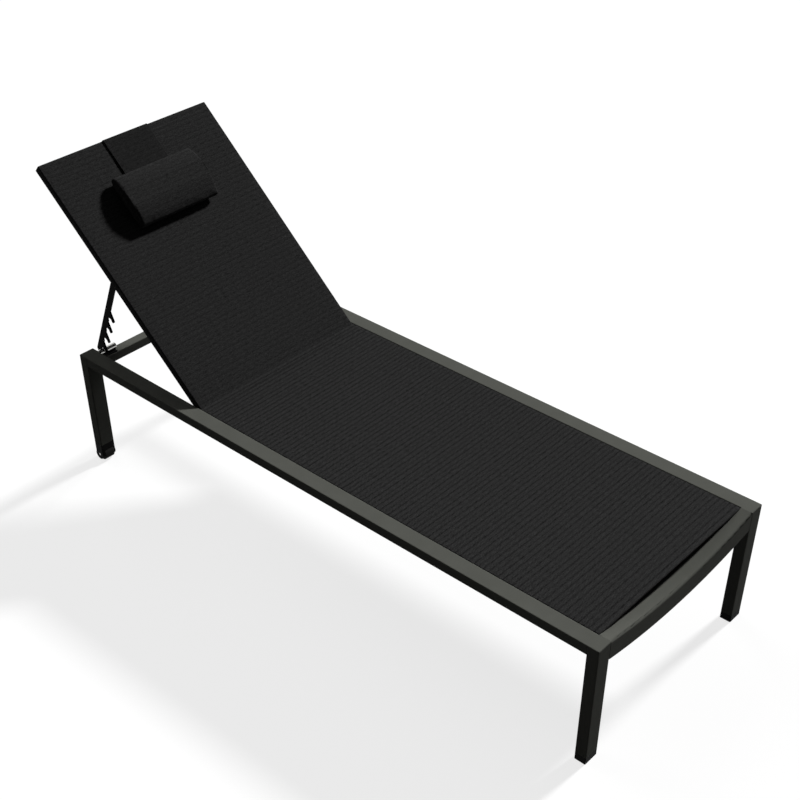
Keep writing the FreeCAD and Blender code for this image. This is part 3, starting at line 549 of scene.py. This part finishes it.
# ---- Headrest strap -----------------------------------------------------------------------
# A wide strap of the same mesh runs over the top edge. Its outer loop is sewn to the sleeve;
# the inner flap carries the pillow and slides under the loop.
strap_half = 0.0715
loop_half = 0.0735
loop_lift = 0.0145
loop_top = 0.7407
loop_front = 0.622
loop_back = 0.640
loop_round = 0.0045
loop_cut = 0.0183
rim_width = 0.0006
loop = bmesh.new()
bmesh.ops.create_cube(
    loop, size=1.0,
    matrix=Matrix.Translation((-(loop_top + loop_front) / 2, 0, 0))
    @ Matrix.Diagonal((loop_top - loop_front, 2 * loop_half, 2 * loop_lift, 1)))
bmesh.ops.delete(loop, geom=[face for face in loop.faces
                             if face.normal.x > 0.9 or abs(face.normal.y) > 0.9],
                 context="FACES_ONLY")
bmesh.ops.delete(loop, geom=[edge for edge in loop.edges if not edge.link_faces],
                 context="EDGES")
for vert in loop.verts:
    if vert.co.z < 0 and vert.co.x > -0.7:
        vert.co.x = -loop_back
bmesh.ops.bevel(loop, geom=[edge for edge in loop.edges if not edge.is_boundary],
                affect="EDGES", offset=loop_round, segments=5, profile=0.5, material=-1)
for number in range(1, 53):
    cut_across(loop, -loop_front - number * rib_cut, 0)
for number in range(-3, 4):
    cut_across(loop, number * loop_cut, 1)
for side in (1, -1):
    cut_across(loop, side * (loop_half - rim_width), 1)
bmesh.ops.recalc_face_normals(loop, faces=loop.faces[:])
if max(loop.faces, key=lambda face: face.calc_center_median().z).normal.z < 0:
    bmesh.ops.reverse_faces(loop, faces=loop.faces[:])
lay_cloth_map(loop, -1.0, loop_lift)
for vert in loop.verts:
    if vert.co.z > loop_lift - 1e-4:
        vert.co.z += rib_height(vert.co.x) - rib_relief
loop.transform(lean)
# The rim along the strap's long edges is painted dark and even: painted shade on the edge
# that faces the lamp.
strap_rim_shade, shader = finish_of("strap rim with painted shade", Roughness=0.6,
                               Specular_IOR_Level=0.006)
mottled(strap_rim_shade, shader, "#191919", "#202020", 0.01, 0.001, 0.0001)
strap_loop = put_in_scene("headrest_loop_cloth", loop, "backrest", shaded_strap_mesh, strap_rim_shade)
give_thickness(strap_loop)
strap_loop.modifiers["thickness"].material_offset_rim = 1
loop_stitches = bmesh.new()
strap_seam = strap_half - 0.005
loop_seam_end = 0.736
loop_seam_across = 0.731
loop_seam_lift = loop_lift - 0.0002
for side in (-1, 1):
    sew(loop_stitches, (-loop_front - 0.003, side * strap_seam, loop_seam_lift),
        (-loop_seam_end, side * strap_seam, loop_seam_lift))
    sew(loop_stitches, (-loop_back - 0.003, side * strap_seam, -loop_lift),
        (-loop_seam_end, side * strap_seam, -loop_lift))
sew(loop_stitches, (-loop_seam_across, -strap_half + 0.003, loop_seam_lift),
    (-loop_seam_across, strap_half - 0.003, loop_seam_lift))
loop_stitches.transform(lean)
loop_thread = put_in_scene("headrest_loop_stitches", loop_stitches, "backrest", sewing_thread)
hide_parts("headrest_strap_loop")


def strap_panel(name, start, end, face_lift, body, outwards):
    """A flat strap from start to end along the backrest, with stitched edges.

    Its outer face lies at face_lift; outwards is 1 on the front of the backrest, -1 behind it.
    """
    panel = bmesh.new()
    length = end - start
    bmesh.ops.create_grid(
        panel, x_segments=int(length / rib_cut), y_segments=10, size=0.5,
        matrix=Matrix.Translation((-(start + end) / 2, 0, face_lift))
        @ Matrix.Diagonal((length, 2 * strap_half, 1, 1)))
    for side in (-1, 1):
        cut_across(panel, side * (strap_half - rim_width), 1)
    if outwards < 0:
        bmesh.ops.reverse_faces(panel, faces=panel.faces[:])
    for vert in panel.verts:
        vert.co.z += outwards * (rib_height(vert.co.x) - rib_relief)
    lay_cloth_map(panel, -1.0, face_lift)
    panel.transform(lean)
    cloth = put_in_scene(name, panel, body, shaded_strap_mesh)
    give_thickness(cloth)
    rows = bmesh.new()
    sunk = face_lift - outwards * 0.0003
    for side in (-1, 1):
        sew(rows, (-start - 0.003, side * strap_seam, sunk),
            (-end + 0.003, side * strap_seam, sunk))
    for place in (start + 0.004, end - 0.004):
        sew(rows, (-place, -strap_half + 0.006, sunk), (-place, strap_half - 0.006, sunk))
    rows.transform(lean)
    thread = put_in_scene(name.replace("cloth", "stitches"), rows, body, sewing_thread)
    return cloth


flap = strap_panel("headrest_flap_cloth", 0.540, 0.706, 0.0127, "headrest", 1)
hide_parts("headrest_flap")

# ---- Weighted tail ------------------------------------------------------------------------
# Behind the backrest the strap ends in a sewn pouch with a steel bar in it, whose weight holds
# the pillow wherever it is slid to.
tail = strap_panel("counterweight_cloth", 0.509, 0.677, -0.0129, "counterweight", -1)
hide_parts("counterweight_strap")
pouch_low, pouch_high, pouch_lift = 0.509, 0.571, -0.0127
pouch_middle = (pouch_low + pouch_high) / 2
pouch_deep = 0.022
pouch_taper = 0.014
pouch = bmesh.new()
bmesh.ops.create_cube(
    pouch, size=1.0,
    matrix=Matrix.Translation((-pouch_middle, 0, pouch_lift - pouch_deep / 2))
    @ Matrix.Diagonal((pouch_high - pouch_low, 2 * strap_half, pouch_deep, 1)))
bmesh.ops.subdivide_edges(pouch, edges=pouch.edges[:], cuts=15, use_grid_fill=True)
for vert in pouch.verts:
    end_share = min(1.0, (strap_half - abs(vert.co.y)) / pouch_taper)
    edge_share = 1 - abs((vert.co.x + pouch_middle) * 2 / (pouch_high - pouch_low)) ** 2.4
    full = math.sqrt(max(0.0, end_share * (2 - end_share))) * max(0.0, edge_share) ** 0.6
    depth = (pouch_lift - vert.co.z) / pouch_deep
    drop = depth * (pouch_deep - 0.0016) * (0.08 + 0.92 * full)
    vert.co.z = pouch_lift - cloth_thickness - drop
bmesh.ops.recalc_face_normals(pouch, faces=pouch.faces[:])
lay_cloth_map(pouch, -1.0, pouch_lift)
pouch.transform(lean)
pouch_cloth = put_in_scene("counterweight_pouch_cloth", pouch, "counterweight", shaded_strap_mesh)
soft = pouch_cloth.modifiers.new("soft", "SUBSURF")
soft.levels = 1
soft.render_levels = 1
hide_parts("counterweight_pouch")

# ---- Headrest pillow ----------------------------------------------------------------------
# A small pillow in the same mesh, filled with polyester wadding and sewn to the flap. One panel
# wraps round it, pulled up a little by the strap, and a D-shaped panel closes each end.
pillow_foot = 0.4800
pillow_long = 0.1530
pillow_pull = 0.001
pillow_half_wide = 0.136
pillow_bottom = 0.0130
pillow_crown = 0.0517
low_edge = 0.0205
spare = 0.003
cushion = bmesh.new()
bmesh.ops.create_cube(cushion, size=2.0)
bmesh.ops.subdivide_edges(cushion, edges=cushion.edges[:], cuts=23, use_grid_fill=True)
# A cube from -1 to 1 is bent to shape: a runs from the pillow's foot to its top, b across and
# c upwards. It starts a little short, and the filling pushes it out.
for vert in cushion.verts:
    a, b, c = vert.co
    length = pillow_long + pillow_pull * (1 - abs(b) ** 2.4)
    over = (1 - abs(a) ** 2.4) ** 0.9 if a > 0 else 1 - a * a
    under = min(1.0, (1 - abs(a)) / (0.28 if a > 0 else 0.40))
    top_edge = 0.0355 - 0.0015 * abs(b) ** 3
    top_lift = top_edge + (pillow_crown - 0.0010 - top_edge) * over
    low_lift = low_edge - (low_edge - pillow_bottom - 0.0010) * under
    vert.co = (-pillow_foot - spare - (1 + a) / 2 * (length - 2 * spare),
               b * (pillow_half_wide - 0.004),
               low_lift + (top_lift - low_lift) * (c + 1) / 2)
cushion_mesh = bpy.data.meshes.new("pillow")
cushion.to_mesh(cushion_mesh)
cushion.free()
pillow = bpy.data.objects.new("pillow", cushion_mesh)
bpy.context.scene.collection.objects.link(pillow)


def keep_modifiers(thing):
    """Makes what the modifiers show the piece's own mesh."""
    bpy.context.view_layer.update()
    shown = thing.evaluated_get(bpy.context.evaluated_depsgraph_get())
    mesh = bpy.data.meshes.new_from_object(shown)
    thing.modifiers.clear()
    thing.data = mesh


remesh = pillow.modifiers.new("even skin", "REMESH")
remesh.mode = "VOXEL"
remesh.voxel_size = 0.0035
keep_modifiers(pillow)
started = [vert.co.copy() for vert in pillow.data.vertices]
swell = pillow.modifiers.new("filling", "CLOTH")
swell.settings.use_pressure = True
swell.settings.uniform_pressure_force = 4.0
swell.settings.effector_weights.gravity = 0.0
swell.settings.quality = 6
settled = 20
swell.point_cache.frame_start = 1
swell.point_cache.frame_end = settled
for moment in range(1, settled + 1):
    bpy.context.scene.frame_set(moment)
keep_modifiers(pillow)
bpy.context.scene.frame_set(1)
# The filling moves the skin a little, and its underside is hollow where it slides over the loop.
most = 0.0022
hollow_deep = 0.0022
hollow_half = 0.084
hollow_start = 0.588
for vert, before in zip(pillow.data.vertices, started):
    step = vert.co - before
    if step.length > most:
        step *= most / step.length
    spot = before + step
    over_loop = max(0.0, min(1.0, (hollow_half - abs(spot.y)) / 0.007,
                             (-spot.x - hollow_start) / 0.006))
    spot.z = min(max(spot.z, pillow_bottom + hollow_deep * over_loop), pillow_crown)
    spot.y = min(max(spot.y, -pillow_half_wide), pillow_half_wide)
    vert.co = spot
pillow_shape = bmesh.new()
pillow_shape.from_mesh(pillow.data)
for _ in range(2):
    bmesh.ops.smooth_vert(pillow_shape, verts=pillow_shape.verts[:], factor=0.5,
                          use_axis_x=True, use_axis_y=True, use_axis_z=True)
seam_copy = pillow_shape.copy()
bmesh.ops.subdivide_edges(pillow_shape, edges=pillow_shape.edges[:], cuts=1,
                          use_grid_fill=True, smooth=1.0)
pillow_shape.normal_update()
lay_cloth_map(pillow_shape, -1.0, pillow_crown)
pillow_shape.transform(lean)
bpy.data.objects.remove(pillow)
pillow = put_in_scene("headrest_pillow_cloth", pillow_shape, "headrest", back_mesh)
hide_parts("headrest_pillow")

# A corded seam runs round each end panel: the same mesh folded over a 2 mm cord.
piping = bmesh.new()
seam_inset = 0.0035
widest = max(vert.co.y for vert in seam_copy.verts)
for side in (-1, 1):
    ring = seam_copy.copy()
    bmesh.ops.bisect_plane(ring, geom=ring.verts[:] + ring.edges[:] + ring.faces[:],
                           plane_co=(0, side * (widest - seam_inset), 0), plane_no=(0, 1, 0),
                           dist=1e-7, clear_inner=True, clear_outer=True)
    ring.edges.ensure_lookup_table()
    spots = []
    edge = ring.edges[0]
    vert = edge.verts[0]
    for number in range(len(ring.edges)):
        spots.append(vert.co.copy())
        vert = edge.other_vert(vert)
        edge = next((item for item in vert.link_edges if item is not edge), edge)
    ring.free()
    line = bpy.data.curves.new("pillow_seam", "CURVE")
    line.dimensions = "3D"
    line.bevel_depth = 0.0012
    line.bevel_resolution = 2
    path = line.splines.new("NURBS")
    thinned = spots[::4]
    path.points.add(len(thinned) - 1)
    for point, spot in zip(path.points, thinned):
        point.co = (*spot, 1.0)
    path.order_u = 4
    path.use_cyclic_u = True
    path.resolution_u = 2
    seam_curve = bpy.data.objects.new("pillow_seam_line", line)
    bpy.context.scene.collection.objects.link(seam_curve)
    bpy.context.view_layer.update()
    ring_mesh = bpy.data.meshes.new_from_object(
        seam_curve.evaluated_get(bpy.context.evaluated_depsgraph_get()))
    bpy.data.objects.remove(seam_curve)
    piping.from_mesh(ring_mesh)
seam_copy.free()
bmesh.ops.recalc_face_normals(piping, faces=piping.faces[:])
lay_cloth_map(piping, -1.0, pillow_crown)
piping.transform(lean)
piping_piece = put_in_scene("headrest_pillow_seam", piping, "headrest", back_mesh)
